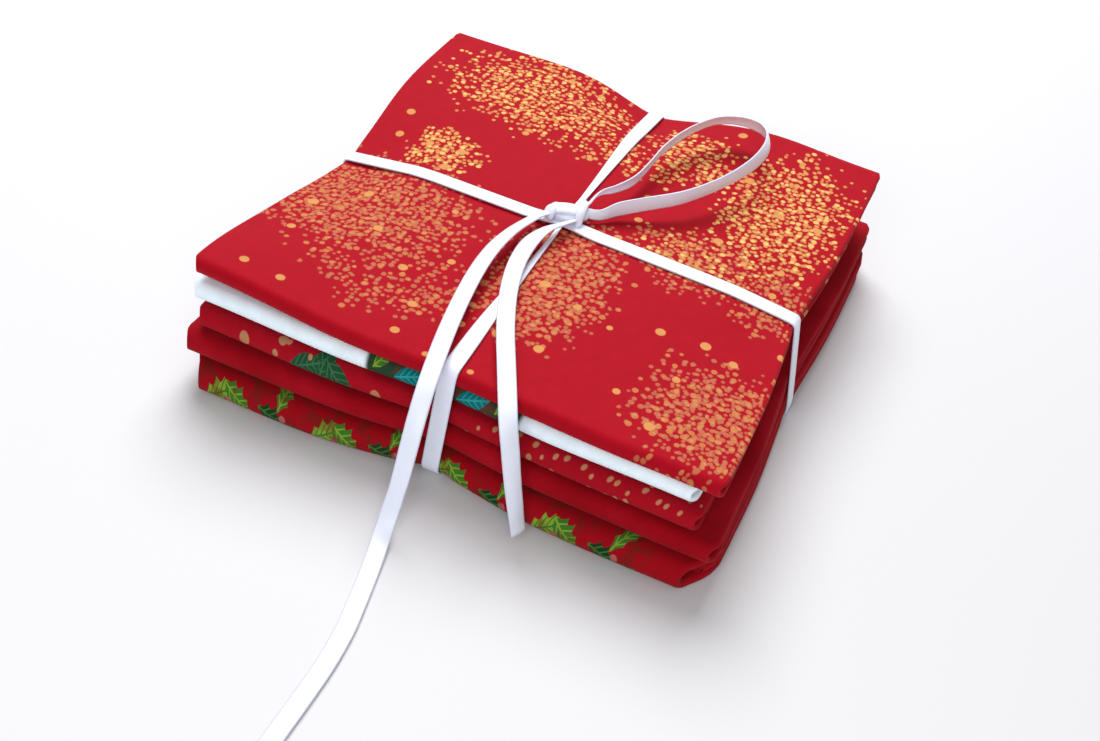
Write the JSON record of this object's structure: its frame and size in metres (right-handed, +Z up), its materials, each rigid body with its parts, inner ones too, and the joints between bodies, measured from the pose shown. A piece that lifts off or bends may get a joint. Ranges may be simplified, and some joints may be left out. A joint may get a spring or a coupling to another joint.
{
  "type": "fat quarter bundle",
  "caption": "Stack of folded quilting cotton pieces tied crosswise with a narrow white satin ribbon and a one-loop bow, one ribbon end trailing on the table.",
  "frame": {"origin": "under the middle of the folded stack, on the surface it rests on", "axes": "+X along the near folded edges, left to right; +Y away from them; +Z up through the pile"},
  "size_m": [0.1436, 0.2443, 0.0425],
  "materials": {
    "cotton_holly": "plain-weave cotton, red ground with green leaves and dusky pink berries",
    "cotton_plain_red": "plain-weave cotton, solid dark red",
    "cotton_red_leaf": "plain-weave cotton, red ground with tan dots and green leaves",
    "cotton_white_print": "plain-weave cotton, white ground with scattered dark green and teal sprigs",
    "cotton_gold_dot": "plain-weave cotton, crimson ground with metallic gold dots in soft clusters",
    "satin_ribbon": "white satin ribbon with a soft sheen along its length"
  },
  "bodies": {
    "root": {"fat_quarter_holly": "cotton_holly", "fat_quarter_plain_red": "cotton_plain_red", "fat_quarter_red_leaf": "cotton_red_leaf", "fat_quarter_white_print": "cotton_white_print", "fat_quarter_gold_dot": "cotton_gold_dot", "ribbon_wrap": "satin_ribbon", "ribbon_loop": "satin_ribbon", "ribbon_tail_long": "satin_ribbon", "ribbon_tail_short": "satin_ribbon"}
  },
  "joints": []
}
